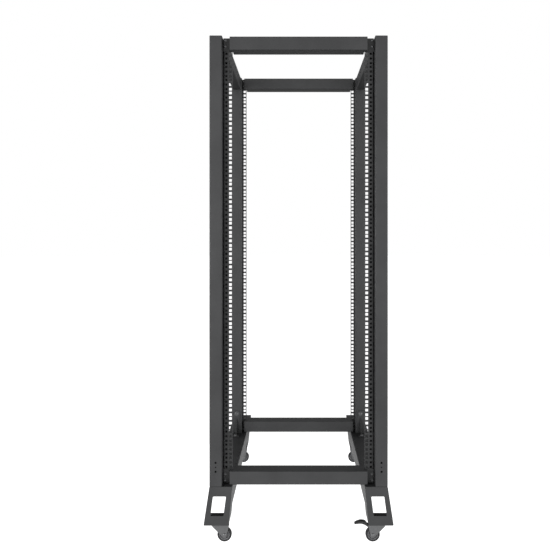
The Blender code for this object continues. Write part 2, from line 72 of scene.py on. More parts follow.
BAR_FACE = 0.233                              # half the width of a crossbar's face
BAR_BODY = 0.2245                             # half the width of its part between the mounting strips
BAR_LIP = 0.012                               # the turned-in edges along its back
BAR_FOLD = 0.003
BAR_SCREWS = {"top": (0.017, 0.038), "bottom": (0.008, 0.029)}    # above the bar's lower edge
SCREW_COLUMNS = {"front": 0.2505, "rear": 0.2376}

SIDE_RAIL_HOLES = 9
SIDE_RAIL_HOLE_RADIUS = 0.0045
BASE_HOLES = 15
BASE_HOLE_PITCH = 0.050
BASE_HOLE_RADIUS = 0.004
BASE_HOLE_COLUMN = 0.230

FOOT_INNER_LOW = 0.2355                       # the foot's inner wall at its lower edge
WINDOW_TOP = (0.171, 0.2440, 0.2880)          # height, inner and outer corner of the foot's window
WINDOW_BOTTOM = (0.1055, 0.2527, 0.2967)

WEB_HEIGHT = 0.070
WEB_LENGTH = 0.040
UPPER_BOLT_RISE = 0.084
LOWER_BOLT_REACH = 0.048

TRAIL = 0.027
HUB_HALF = 0.0105
AXLE_RADIUS = 0.004
LEG_INNER = 0.0115
LEG_THICKNESS = 0.0025
CROWN_THICKNESS = 0.0035
PLATE_THICKNESS = 0.0025
PLATE_BOLTS = (0.025, 0.023)
CUP_INNER = 0.0182                            # the plate's ball cup
CUP_OUTER = 0.0210
BALLS = 12
BALL_RING = 0.0138                            # from the swivel axis to a ball's middle
KING_PIN_RADIUS = 0.0040
KING_PIN_HEAD = 0.0080
CROWN_RADIUS = 0.0200
BRIDGE_LENGTH = 0.0155                        # of the fork's bridge behind the axle
LEDGE = 0.0005                                # of the bridge, inside the crown and the legs
BOSS_RADIUS = 0.0085                          # of a fork leg around the axle
WEB_HALF = 0.0028                             # half the thickness of the wheel's web
POCKETS = 5
POCKET_RING = 0.0117
POCKET_RADIUS = 0.0026
POCKET_FLOOR = 0.0006                         # half of what is left between two pockets
PEDAL_PIN_RADIUS = 0.002
PEDAL_PIN_HEAD = 0.0034
PEDAL_BOSS = 0.0044

STUDIO_FRONT = 1.6                            # brightness of the surround
STUDIO_BACK = 0.38
STUDIO_TILTED = 0.22                          # share of it that is left above and below
STUDIO_LIGHTS = [                             # name, place, size and power
    ("key_light", (-2.6, -3.2, 1.2), 1.8, 70),
    ("fill_light", (3.0, -3.0, 0.9), 2.2, 45),
    ("left_back_light", (-3.6, 2.0, 1.2), 1.6, 50),
    ("right_back_light", (3.6, 2.0, 1.2), 1.6, 50)]
FLOOR_GLOW = 0.97
DOME_GLOW = 1.0
CARD_GLOW = 1.0

SIDES = {"left": -1, "right": 1}
ENDS = {"front": -1, "rear": 1}
CORNERS = [(f"{end}_{side}", end, sign) for end in ENDS for side, sign in SIDES.items()]
BRAKED_CASTER = "front_right"

SMOOTH_TURN = math.radians(15)                # the largest step along a rounded corner
SHARP_ANGLE = math.radians(33)


# ---------------------------------------------------------------- mesh tools

def as_mesh(name, shape):
    """Turns what was built into a mesh."""
    mesh = bpy.data.meshes.new(name)
    shape.to_mesh(mesh)
    shape.free()
    return mesh


def rounded(corners, radius, closed=True):
    """An outline with rounded corners. The radius is one number, or one for each corner."""
    points = [Vector(corner) for corner in corners]
    radii = radius if isinstance(radius, (list, tuple)) else [radius] * len(points)
    outline = []
    for index, (point, bend) in enumerate(zip(points, radii)):
        loose = not closed and index in (0, len(points) - 1)
        if loose or not bend:
            outline.append(point)
            continue
        before = (points[index - 1] - point).normalized()
        after = (points[(index + 1) % len(points)] - point).normalized()
        half = before.angle(after) / 2
        centre = point + (before + after).normalized() * bend / math.sin(half)
        first = point + before * bend / math.tan(half) - centre
        last = point + after * bend / math.tan(half) - centre
        turn = math.pi - 2 * half
        count = max(2, math.ceil(turn / SMOOTH_TURN))
        for step in range(count + 1):
            share = step / count
            outline.append(centre + (first * math.sin((1 - share) * turn)
                                     + last * math.sin(share * turn)) / math.sin(turn))
    return outline


def oblong(across, up, radius=0.0):
    """A rectangle from its two ranges, given in either order."""
    left, right = sorted(across)
    low, high = sorted(up)
    return rounded([(left, low), (right, low), (right, high), (left, high)], radius)


def circle(centre, radius, steps=24):
    """The corners of a regular polygon, as an outline."""
    angles = [math.tau * step / steps for step in range(steps)]
    return [Vector((centre[0] + radius * math.cos(angle), centre[1] + radius * math.sin(angle)))
            for angle in angles]


def flipped(outline, sign):
    """The outline on the rack's left side (-1) or right side (1)."""
    return [Vector((sign * across, up)) for across, up in outline]


def lay(axis, across, up, along):
    """A point from its place in the outline's plane and its place along the axis."""
    return {"X": (along, across, up), "Y": (across, along, up), "Z": (across, up, along)}[axis]


def prisms(name, axis, low, high, *outlines):
    """Solids with the given outlines, between two planes across the axis."""
    shape = bmesh.new()
    for outline in outlines:
        face = shape.faces.new([shape.verts.new(lay(axis, across, up, low)) for across, up in outline])
        grown = bmesh.ops.extrude_face_region(shape, geom=[face])
        moved = [item for item in grown["geom"] if isinstance(item, bmesh.types.BMVert)]
        bmesh.ops.translate(shape, verts=moved, vec=lay(axis, 0, 0, high - low))
    bmesh.ops.recalc_face_normals(shape, faces=shape.faces)
    return as_mesh(name, shape)


def turned(name, profile, steps=48, ring=False):
    """A solid turned about Z from points given as (radius, height)."""
    shape = bmesh.new()
    points = [shape.verts.new((radius, 0, height)) for radius, height in profile]
    pairs = list(zip(points, points[1:]))
    if ring:
        pairs.append((points[-1], points[0]))
    edges = [shape.edges.new(pair) for pair in pairs]
    bmesh.ops.spin(shape, geom=points + edges, cent=(0, 0, 0), axis=(0, 0, 1), angle=math.tau, steps=steps,
                   use_merge=True)
    bmesh.ops.remove_doubles(shape, verts=shape.verts, dist=1e-6)
    bmesh.ops.recalc_face_normals(shape, faces=shape.faces)
    return as_mesh(name, shape)


def moved(mesh, matrix):
    mesh.transform(matrix)
    return mesh


def start(name, mesh):
    """A new object in the scene, with the mesh."""
    piece = bpy.data.objects.new(name, mesh)
    bpy.context.scene.collection.objects.link(piece)
    return piece


def combine(piece, operation, mesh):
    """Cuts the mesh out of the piece, or joins it to the piece."""
    tool = start(f"{piece.name}_{mesh.name}", mesh)
    tool.hide_render = True
    modifier = piece.modifiers.new(mesh.name, "BOOLEAN")
    modifier.operation = operation
    modifier.solver = "EXACT"
    modifier.object = tool


def soften(piece, width, segments=2, angle=50):
    """Rounds the edges that turn by more than the angle."""
    modifier = piece.modifiers.new("soft_edges", "BEVEL")
    modifier.width = width
    modifier.segments = segments
    modifier.limit_method = "ANGLE"
    modifier.angle_limit = math.radians(angle)
    modifier.use_clamp_overlap = True


def settle(piece):
    """Turns the piece's modifiers into its mesh and removes the cutters."""
    graph = bpy.context.evaluated_depsgraph_get()
    mesh = bpy.data.meshes.new_from_object(piece.evaluated_get(graph))
    tools = [modifier.object for modifier in piece.modifiers if modifier.type == "BOOLEAN"]
    piece.modifiers.clear()
    piece.data = mesh
    mesh.name = piece.name
    for tool in tools:
        bpy.data.objects.remove(tool)
    mesh.shade_smooth()
    mesh.set_sharp_from_angle(angle=SHARP_ANGLE)
    return mesh


def complete(piece, look, body, *nodes):
    """Gives the piece its material and its body, and hides the CAD nodes that it stands for."""
    mesh = settle(piece)
    mesh.materials.clear()
    mesh.materials.append(MATERIALS[look])
    place(piece, look, body, *nodes)


def place(piece, look, body, *nodes):
    """Ties a finished piece to its body and hides the CAD nodes that it stands for."""
    normals = piece.modifiers.new("weighted_normals", "WEIGHTED_NORMAL")
    normals.keep_sharp = True
    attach(piece, body)
    if nodes:
        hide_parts(*nodes)


# ---------------------------------------------------------------- materials

def add_node(tree, kind, inputs, **settings):
    """A shader node. An input is either a value or the socket that feeds it."""
    node = tree.nodes.new(kind)
    for name, value in settings.items():
        setattr(node, name, value)
    for name, value in inputs.items():
        if isinstance(value, bpy.types.NodeSocket):
            tree.links.new(value, node.inputs[name])
        else:
            node.inputs[name].default_value = value
    return node


def noise(tree, size, detail=3.0):
    """Soft noise whose features are about the given size in metres."""
    spot = add_node(tree, "ShaderNodeTexCoord", {}).outputs["Object"]
    pattern = add_node(tree, "ShaderNodeTexNoise", {"Vector": spot, "Scale": 1 / size, "Detail": detail})
    return pattern.outputs["Fac"]


def cells(tree, size, output="Distance"):
    """A cell pattern whose cells are about the given size in metres."""
    spot = add_node(tree, "ShaderNodeTexCoord", {}).outputs["Object"]
    return add_node(tree, "ShaderNodeTexVoronoi", {"Vector": spot, "Scale": 1 / size}).outputs[output]


def spread(tree, value, low, high, start=0.35, stop=0.65):
    """The value, stretched from low to high."""
    return add_node(tree, "ShaderNodeMapRange", {
        "Value": value, "From Min": start, "From Max": stop, "To Min": low, "To Max": high,
    }).outputs["Result"]


def blend(tree, share, first, second):
    """The first colour where the share is 0 and the second where it is 1."""
    mixer = add_node(tree, "ShaderNodeMix", {}, data_type="RGBA")
    tree.links.new(share, mixer.inputs["Factor"])
    mixer.inputs[6].default_value = (*first, 1)
    mixer.inputs[7].default_value = (*second, 1)
    return mixer.outputs[2]


def bump(tree, height, depth, under=None):
    """A normal from a height of 0 to 1 that stands for the given depth in metres."""
    inputs = {"Height": height, "Strength": 1.0, "Distance": depth}
    if under:
        inputs["Normal"] = under
    return add_node(tree, "ShaderNodeBump", inputs).outputs["Normal"]


def new_material(name, metallic=0.0, specular=0.5):
    material = bpy.data.materials.new(name)
    material.use_nodes = True
    tree = material.node_tree
    shader = tree.nodes["Principled BSDF"]
    shader.inputs["Metallic"].default_value = metallic
    shader.inputs["Specular IOR Level"].default_value = specular
    return material, tree, shader


def connect(tree, shader, colour, roughness, normal):
    tree.links.new(colour, shader.inputs["Base Color"])
    tree.links.new(roughness, shader.inputs["Roughness"])
    tree.links.new(normal, shader.inputs["Normal"])


def powder_coat():
    """Matt black powder paint: a fine sand texture over a slow orange peel."""
    material, tree, shader = new_material("powder_coat_finish", specular=0.42)
    grain = noise(tree, 0.0009, 2.0)
    peel = noise(tree, 0.006, 1.0)
    cloud = noise(tree, 0.11, 3.0)
    normal = bump(tree, grain, 0.00010, bump(tree, peel, 0.00016))
    tone = blend(tree, spread(tree, cloud, 0, 1), (0.0200, 0.0204, 0.0215), (0.0275, 0.0280, 0.0292))
    connect(tree, shader, tone, spread(tree, grain, 0.44, 0.60), normal)
    return material


def zinc():
    """Dull zinc plate: flat crystals that each shine a little differently, with fine drawing marks."""
    material, tree, shader = new_material("zinc_finish", metallic=0.8)
    crystals = cells(tree, 0.0012, "Color")
    grey = add_node(tree, "ShaderNodeRGBToBW", {"Color": crystals}).outputs["Val"]
    marks = noise(tree, 0.0007, 4.0)
    tone = blend(tree, spread(tree, grey, 0, 1, 0.1, 0.9), (0.110, 0.113, 0.119), (0.160, 0.160, 0.160))
    connect(tree, shader, tone, spread(tree, grey, 0.30, 0.46, 0.1, 0.9), bump(tree, marks, 0.00004))
    return material


def black_zinc():
    """Caster plates: zinc, much darker than the fork's, worn a little greyer in patches."""
    material, tree, shader = new_material("darker_zinc_finish", metallic=0.75)
    patches = noise(tree, 0.0030, 5.0)
    tone = blend(tree, spread(tree, patches, 0, 1, 0.45, 0.7), (0.030, 0.031, 0.034), (0.060, 0.060, 0.063))
    connect(tree, shader, tone, spread(tree, patches, 0.30, 0.46), bump(tree, noise(tree, 0.0006), 0.00003))
    return material


def rubber():
    """Tyres: dull black rubber with a mottled bloom."""
    material, tree, shader = new_material("rubber_finish", specular=0.3)
    mottle = noise(tree, 0.0040, 6.0)
    tone = blend(tree, spread(tree, mottle, 0, 1), (0.012, 0.012, 0.013), (0.030, 0.030, 0.031))
    connect(tree, shader, tone, spread(tree, mottle, 0.62, 0.84),
            bump(tree, noise(tree, 0.0008, 4.0), 0.00008))
    return material


def moulded_plastic(name, dark, light, roughness):
    """Injection-moulded plastic with a spark-eroded grain."""
    material, tree, shader = new_material(name)
    grain = cells(tree, 0.0008)
    flow = noise(tree, 0.012, 2.0)
    tone = blend(tree, spread(tree, flow, 0, 1), dark, light)
    low, high = roughness
    connect(tree, shader, tone, spread(tree, flow, low, high), bump(tree, grain, 0.00006))
    return material


MATERIALS = {
    "powder_coat": powder_coat(),
    "zinc": zinc(),
    "black_zinc": black_zinc(),
    "rubber": rubber(),
    "grey_plastic": moulded_plastic(
        "grey_plastic_finish", (0.105, 0.107, 0.112), (0.150, 0.152, 0.158), (0.36, 0.50)),
    "black_plastic": moulded_plastic(
        "black_plastic_finish", (0.009, 0.009, 0.010), (0.018, 0.018, 0.019), (0.34, 0.48)),
}


# ---------------------------------------------------------------- places taken from the frame

def outline_box(node):
    """A node's ranges as (near the middle, outermost), (front, back) and (bottom, top)."""
    low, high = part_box(node)
    across = sorted((abs(low.x), abs(high.x)))
    return across, (low.y, high.y), (low.z, high.z)


UNITS_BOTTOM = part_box("crossbar_bottom_front")[1].z
UNITS_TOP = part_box("crossbar_top_front")[0].z
UNITS = round((UNITS_TOP - UNITS_BOTTOM) / UNIT)
HOLE_HEIGHTS = [UNITS_BOTTOM + unit * UNIT + rise for unit in range(UNITS) for rise in HOLE_RISES]
BASE_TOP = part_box("base_rail_left")[1].z
FOOT_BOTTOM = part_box("foot_front_left")[0].z
BASE_INNER = outline_box("base_rail_left")[0][0]
BASE_OUTER = outline_box("post_front_left")[0][1]
LEAN_INNER = (FOOT_INNER_LOW - BASE_INNER) / (BASE_TOP - FOOT_BOTTOM)
LEAN_OUTER = (outline_box("foot_front_left")[0][1] - BASE_OUTER) / (BASE_TOP - FOOT_BOTTOM)


# ---------------------------------------------------------------- frame

def squares(column, side):
    """The outlines of one column of square holes."""
    return [oblong((column - side / 2, column + side / 2), (height - side / 2, height + side / 2))
            for height in HOLE_HEIGHTS]


def post(corner, sign):
    """A folded tube with rounded corners and a closed top."""
    node = f"post_{corner}"
    (inner, outer), (front, back), (bottom, top) = outline_box(node)
    tube = oblong((inner, outer), (front, back), POST_FOLD)
    piece = start(f"{node}_finished", prisms("tube", "Z", bottom, top, flipped(tube, sign)))
    soften(piece, 0.0005)
    hollow = oblong((inner + SHEET, outer - SHEET), (front + SHEET, back - SHEET), POST_FOLD - SHEET)
    combine(piece, "DIFFERENCE", prisms("hollow", "Z", bottom - CLEAR, top - SHEET, flipped(hollow, sign)))
    column = sign * (inner + outer) / 2
    combine(piece, "DIFFERENCE", prisms("tie_holes", "Y", front - CLEAR, front + CLEAR, *[
        circle((column, bottom + rise), radius) for rise, radius in zip(TIE_HOLES, TIE_HOLE_RADII)]))
    complete(piece, "powder_coat", "frame", node)


def mounting_strip(corner, end, sign):
    """A punched strip. In front it has a closed rib behind its small squares, folded out to the post."""
    node = f"mounting_strip_{corner}"
    (opening, outer), (face, behind), (bottom, top) = outline_box(node)
    if end == "front":
        rib_back = face + RIB_DEPTH
        outline = rounded([
            (outer, rib_back), (RIB_INNER, rib_back), (RIB_INNER, behind), (opening, behind),
            (opening, face), (RIB_OUTER, face), (RIB_OUTER, rib_back - SHEET), (outer, rib_back - SHEET)],
            [0.0005, 0.0015, 0.0005, 0.0009, 0.0009, 0.0012, 0.0003, 0.0005])
    else:
        outline = oblong((opening, outer), (face, behind), 0.0008)
    piece = start(f"{node}_finished", prisms("strip", "Z", bottom, top, flipped(outline, sign)))
    soften(piece, 0.0005)
    if end == "front":
        rib_hollow = oblong((RIB_INNER + SHEET, RIB_OUTER - SHEET), (behind - 0.0002, rib_back - SHEET))
        combine(piece, "DIFFERENCE", prisms("rib_hollow", "Z", bottom - CLEAR, top + CLEAR,
                                            flipped(rib_hollow, sign)))
        small_squares = [flipped(hole, sign) for hole in squares(BLIND_COLUMN, BLIND_SIDE)]
        combine(piece, "DIFFERENCE", prisms("small_squares", "Y", face - CLEAR, behind + 0.001,
                                            *small_squares))
    unit_holes = [flipped(hole, sign) for hole in squares(HOLE_COLUMN, HOLE_SIDE)]
    combine(piece, "DIFFERENCE", prisms("unit_holes", "Y", face - CLEAR, face + CLEAR, *unit_holes))
    complete(piece, "powder_coat", "frame", node)


def crossbar(level, end):
    """A lipped channel with rounded folds. Its tabs sit on the mounting strips and take two screws each."""
    node = f"crossbar_{level}_{end}"
    (_, width), (face, back), (bottom, top) = outline_box(node)
    tab_back = outline_box(f"mounting_strip_{end}_left")[1][0] - GAP
    tab = tab_back - SHEET
    tall = (bottom - CLEAR, top + CLEAR)
    channel = oblong((face, back), (bottom, top), BAR_FOLD)
    piece = start(f"{node}_finished", prisms("channel", "X", -width, width, channel))
    for side, sign in SIDES.items():
        combine(piece, "DIFFERENCE", prisms(f"{side}_front", "Y", face - CLEAR, tab, oblong(
            (sign * BAR_FACE, sign * (width + CLEAR)), tall)))
        combine(piece, "DIFFERENCE", prisms(f"{side}_back", "Y", tab_back, back + CLEAR, oblong(
            (sign * BAR_BODY, sign * (width + CLEAR)), tall)))
    soften(piece, 0.0008, 3)
    inside = oblong((face + SHEET, back - SHEET), (bottom + SHEET, top - SHEET), BAR_FOLD - SHEET)
    combine(piece, "DIFFERENCE", prisms("hollow", "X", SHEET - BAR_BODY, BAR_BODY - SHEET, inside))
    combine(piece, "DIFFERENCE", prisms("back_slot", "Y", back - 2 * SHEET, back + CLEAR, oblong(
        (SHEET - BAR_BODY, BAR_BODY - SHEET), (bottom + BAR_LIP, top - BAR_LIP), 0.002)))
    complete(piece, "powder_coat", "frame", node)
    kind = "wide" if end == "front" else "narrow"
    for side, sign in SIDES.items():
        for index, rise in enumerate(BAR_SCREWS[level]):
            spot = Vector((sign * SCREW_COLUMNS[end], tab, bottom + rise))
            turn = Matrix.Rotation(math.pi / 2, 4, "X") @ Matrix.Rotation(0.4 + 1.3 * index + sign, 4, "Z")
            add_copy(f"bar_screw_{level}_{end}_{side}_{index + 1}", SCREWS[kind],
                     Matrix.Translation(spot) @ turn, "zinc", "frame")


def side_rail(side, sign):
    """A box rail with a row of holes in its inner wall."""
    node = f"side_rail_{side}"
    (inner, outer), (front, back), (bottom, top) = outline_box(node)
    piece = start(f"{node}_finished", prisms("tube", "Y", front, back, oblong(
        (sign * inner, sign * outer), (bottom, top), 0.003)))
    soften(piece, 0.0006)
    combine(piece, "DIFFERENCE", prisms("hollow", "Y", front - CLEAR, back + CLEAR, oblong(
        (sign * (inner + SHEET), sign * (outer - SHEET)), (bottom + SHEET, top - SHEET), 0.001)))
    spacing = (back - front) / SIDE_RAIL_HOLES
    holes = [circle((front + spacing * (index + 0.5), (bottom + top) / 2), SIDE_RAIL_HOLE_RADIUS)
             for index in range(SIDE_RAIL_HOLES)]
    ends = sorted((sign * (inner - CLEAR), sign * (inner + CLEAR)))
    combine(piece, "DIFFERENCE", prisms("hole_row", "X", *ends, *holes))
    complete(piece, "powder_coat", "frame", node)


def splayed(top, bottom, inset=0.0):
    """The base's outline between two heights, with its leaning walls moved inwards by the inset."""
    edges = []
    for height in (top, bottom):
        drop = BASE_TOP - height
        edges.append((BASE_INNER + inset + LEAN_INNER * drop, BASE_OUTER - inset + LEAN_OUTER * drop))
    (top_inner, top_outer), (bottom_inner, bottom_outer) = edges
    return [(top_inner, top), (top_outer, top), (bottom_outer, bottom), (bottom_inner, bottom)]


def base_rail(side, sign):
    """A channel open at the bottom, whose walls lean outwards as the feet's do."""
    node = f"base_rail_{side}"
    _, (front, back), (bottom, top) = outline_box(node)
    shell = rounded(splayed(top, bottom), [0.004, 0.004, 0, 0])
    piece = start(f"{node}_finished", prisms("channel", "Y", front, back, flipped(shell, sign)))
    inside = rounded(splayed(top - HEAVY_SHEET, bottom - CLEAR, HEAVY_SHEET), [0.0015, 0.0015, 0, 0])
    combine(piece, "DIFFERENCE", prisms("hollow", "Y", front - CLEAR, back + CLEAR, flipped(inside, sign)))
    soften(piece, 0.0007)
    first = -BASE_HOLE_PITCH * (BASE_HOLES - 1) / 2
    holes = [circle((sign * BASE_HOLE_COLUMN, first + BASE_HOLE_PITCH * index), BASE_HOLE_RADIUS)
             for index in range(BASE_HOLES)]
    combine(piece, "DIFFERENCE", prisms("hole_row", "Z", top - CLEAR, top + CLEAR, *holes))
    complete(piece, "powder_coat", "frame", node)


def foot(corner, end, sign):
    """A folded box, splayed outwards, with a window in its end and open towards the base rail."""
    node = f"foot_{corner}"
    _, (front, back), (bottom, top) = outline_box(node)
    outside = rounded(splayed(top, bottom), [0.004, 0.004, 0.003, 0.003])
    inside = rounded(splayed(top - HEAVY_SHEET, bottom + HEAVY_SHEET, HEAVY_SHEET), 0.0012)
    window_top, top_inner, top_outer = WINDOW_TOP
    window_bottom, bottom_inner, bottom_outer = WINDOW_BOTTOM
    window = rounded([(top_inner, window_top), (top_outer, window_top), (bottom_outer, window_bottom),
                      (bottom_inner, window_bottom)], 0.0030)
    piece = start(f"{node}_finished", prisms("shell", "Y", front, back, flipped(outside, sign)))
    soften(piece, 0.0022, 4)
    shift = -ENDS[end] * HEAVY_SHEET
    combine(piece, "DIFFERENCE", prisms("hollow", "Y", front + shift, back + shift, flipped(inside, sign)))
    end_face = front if end == "front" else back
    combine(piece, "DIFFERENCE", prisms("window", "Y", end_face - CLEAR, end_face + CLEAR,
                                        flipped(window, sign)))
    complete(piece, "powder_coat", "frame", node)


def gusset(corner, end, sign):
    """A bolted angle bracket with a web, and its two bolts."""
    node = f"gusset_{corner}"
    (near, far), (front, back), (bottom, top) = outline_box(node)
    heel = front if end == "front" else back
    width = far - near
    reach = back - front
    height = top - bottom
    wall = HEAVY_SHEET
    at = (Matrix.Translation((sign * (near + far) / 2, heel, bottom))
          @ Matrix.Rotation(-ENDS[end] * math.pi / 2, 4, "Z"))
    angle = rounded([(0, 0), (reach, 0), (reach, wall), (wall, wall), (wall, height), (0, height)],
                    [0.004, 0.0012, 0.0012, 0.0015, 0.0012, 0.0012])
    web = rounded([(wall / 2, wall / 2), (WEB_LENGTH, wall / 2), (wall / 2, WEB_HEIGHT)],
                  [0, 0.0015, 0.0015])
    piece = start(f"{node}_finished", moved(prisms("angle", "Y", -width / 2, width / 2, angle), at))
    soften(piece, 0.0008)
    combine(piece, "UNION", moved(prisms("web", "Y", -wall / 2, wall / 2, web), at))
    complete(piece, "powder_coat", "frame", node)
    seat = wall + GAP
    upper = Matrix.Translation((seat, 0, UPPER_BOLT_RISE)) @ Matrix.Rotation(math.pi / 2, 4, "Y")
    lower = Matrix.Translation((LOWER_BOLT_REACH, 0, seat))
    for level, spot in (("upper", upper), ("lower", lower)):
        name = f"gusset_bolt_{level}_{corner}"
        add_copy(f"{name}_finished", SCREWS["gusset"], at @ spot, "zinc", "frame", name)


# ---------------------------------------------------------------- screws and bolts

def add_copy(name, mesh, matrix, look, body, *nodes):
    """A finished piece that shares a stored mesh."""
    piece = start(name, mesh)
    piece.matrix_world = matrix
    place(piece, look, body, *nodes)


def socket_screw(name, head, height, shank, length, washer=0.0):
    """A button-head screw with a hexagon socket. It stands on the XY plane, on a washer if it has one."""
    rise = 0.0011 if washer else 0.0
    crown = rounded([(0, rise + height), (0.62 * head, rise + height), (head, rise + 0.35 * height),
                     (head, rise)], [0, 0.35 * head, 0.12 * head, 0], closed=False)
    profile = [*crown, (shank, rise), (shank, 0.0006 - length), (shank - 0.0006, -length), (0, -length)]
    piece = start(name, turned(name, profile, 32))
    combine(piece, "DIFFERENCE", prisms("socket", "Z", rise + 0.42 * height, rise + height + CLEAR,
                                        circle((0, 0), 0.42 * head, 6)))
    if washer:
        ring = rounded([(shank + GAP, 0), (washer, 0), (washer, rise), (shank + GAP, rise)],
                       [0, 0.0003, 0.0004, 0])
        combine(piece, "UNION", turned("washer", ring, 32, ring=True))
    return stored(piece, "zinc")


def hexagon_bolt(name):
    """A bolt up through the caster's plate and the foot's floor, with its nut inside the foot."""
    head, head_height, shank = 0.0052, 0.0034, 0.0029
    grip = PLATE_THICKNESS + HEAVY_SHEET + 0.0006
    piece = start(name, prisms("head", "Z", -head_height, 0, circle((0, 0), head, 6)))
    soften(piece, 0.0005)
    tip = grip + 0.0080
    rod = [(0, tip), (shank - 0.0006, tip), (shank, tip - 0.0008), (shank, -0.0002), (0, -0.0002)]
    combine(piece, "UNION", turned("shank", rod, 20))
    combine(piece, "UNION", prisms("nut", "Z", grip, grip + 0.0048, circle((0, 0), head, 6)))
    return stored(piece, "zinc")


def stored(piece, look):
    """Keeps a finished mesh for copies."""
    mesh = settle(piece)
    mesh.materials.clear()
    mesh.materials.append(MATERIALS[look])
    bpy.data.objects.remove(piece)
    return mesh


SCREWS = {
    "wide": socket_screw("wide_screw", 0.0048, 0.0030, 0.0028, 0.0075, washer=0.0056),
    "narrow": socket_screw("narrow_screw", 0.0036, 0.0026, 0.0022, 0.0075),
    "gusset": socket_screw("gusset_screw", 0.0072, 0.0042, 0.0038, 0.0115, washer=0.0090),
    "plate": hexagon_bolt("plate_bolt"),
}


# ---------------------------------------------------------------- casters

def caster(corner, sign):
    """Drawn with +X pointing out of the rack and turned half round on the left side."""
    low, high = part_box(f"caster_plate_{corner}")
    at = Matrix.Translation(((low.x + high.x) / 2, (low.y + high.y) / 2, 0))
    if sign < 0:
        at = at @ Matrix.Rotation(math.pi, 4, "Z")
    caster_plate(corner, at, low.z, high.z)
    swivel_parts(corner, at)
    fork(corner, at)
    axle(corner)
    wheel(corner)


def caster_plate(corner, at, cup_bottom, top):
    """A plate with a ball cup under it, and the four bolts that hold it to the foot."""
    node = f"caster_plate_{corner}"
    low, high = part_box(node)
    length = high.x - low.x
    width = high.y - low.y
    underside = top - PLATE_THICKNESS
    piece = start(f"{node}_finished", moved(prisms("plate", "Z", underside, top, oblong(
        (-length / 2, length / 2), (-width / 2, width / 2), 0.006)), at))
    soften(piece, 0.0005)
    root = underside + 0.001
    cup = rounded([(0, root), (CUP_OUTER, root), (CUP_OUTER, cup_bottom), (CUP_INNER, cup_bottom),
                   (CUP_INNER, underside), (0, underside)], [0, 0, 0.0008, 0.0004, 0, 0], closed=False)
    combine(piece, "UNION", moved(turned("cup", cup), at))
    pin_hole = prisms("pin_hole", "Z", 0, 1, circle((0, 0), KING_PIN_RADIUS + GAP))
    combine(piece, "DIFFERENCE", moved(pin_hole, at))
    # the plate takes the zinc much darker than the fork's
    complete(piece, "black_zinc", "frame", node)
    across, along = PLATE_BOLTS
    spots = [(across, along), (-across, along), (-across, -along), (across, -along)]
    for index, (x, y) in enumerate(spots):
        matrix = at @ Matrix.Translation((x, y, underside - 0.0001)) @ Matrix.Rotation(0.3 * index, 4, "Z")
        add_copy(f"plate_bolt_{corner}_{index + 1}", SCREWS["plate"], matrix, "zinc", "frame")


def swivel_parts(corner, at):
    """The ring of balls between the fork and its plate, and the rivet that the fork turns on."""
    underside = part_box(f"caster_plate_{corner}")[1].z - PLATE_THICKNESS
    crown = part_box(f"fork_{corner}")[1].z
    size = (underside - crown) / 2 - 0.0002
    shape = bmesh.new()
    for index in range(BALLS):
        angle = math.tau * index / BALLS
        spot = (BALL_RING * math.cos(angle), BALL_RING * math.sin(angle), (underside + crown) / 2)
        bmesh.ops.create_uvsphere(shape, u_segments=16, v_segments=10, radius=size,
                                  matrix=at @ Matrix.Translation(spot))
    complete(start(f"swivel_balls_{corner}", as_mesh("balls", shape)), "zinc", f"caster_{corner}")
    node = f"king_pin_{corner}"
    low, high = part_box(node)
    head_top = crown - CROWN_THICKNESS - GAP
    rivet = rounded([
        (0, high.z), (KING_PIN_RADIUS, high.z), (KING_PIN_RADIUS, head_top), (KING_PIN_HEAD, head_top),
        (KING_PIN_HEAD, low.z + 0.0008), (0.0050, low.z), (0.0022, low.z), (0.0016, low.z + 0.0006),
        (0, low.z + 0.0006)], [0, 0.0005, 0.0003, 0.0003, 0.0008, 0.0008, 0.0002, 0.0002, 0], closed=False)
    piece = start(f"{node}_finished", moved(turned("rivet", rivet), at))
    complete(piece, "zinc", "frame", node)


def wheel_centre(corner):
    low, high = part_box(f"wheel_core_{corner}")
    return (low + high) / 2


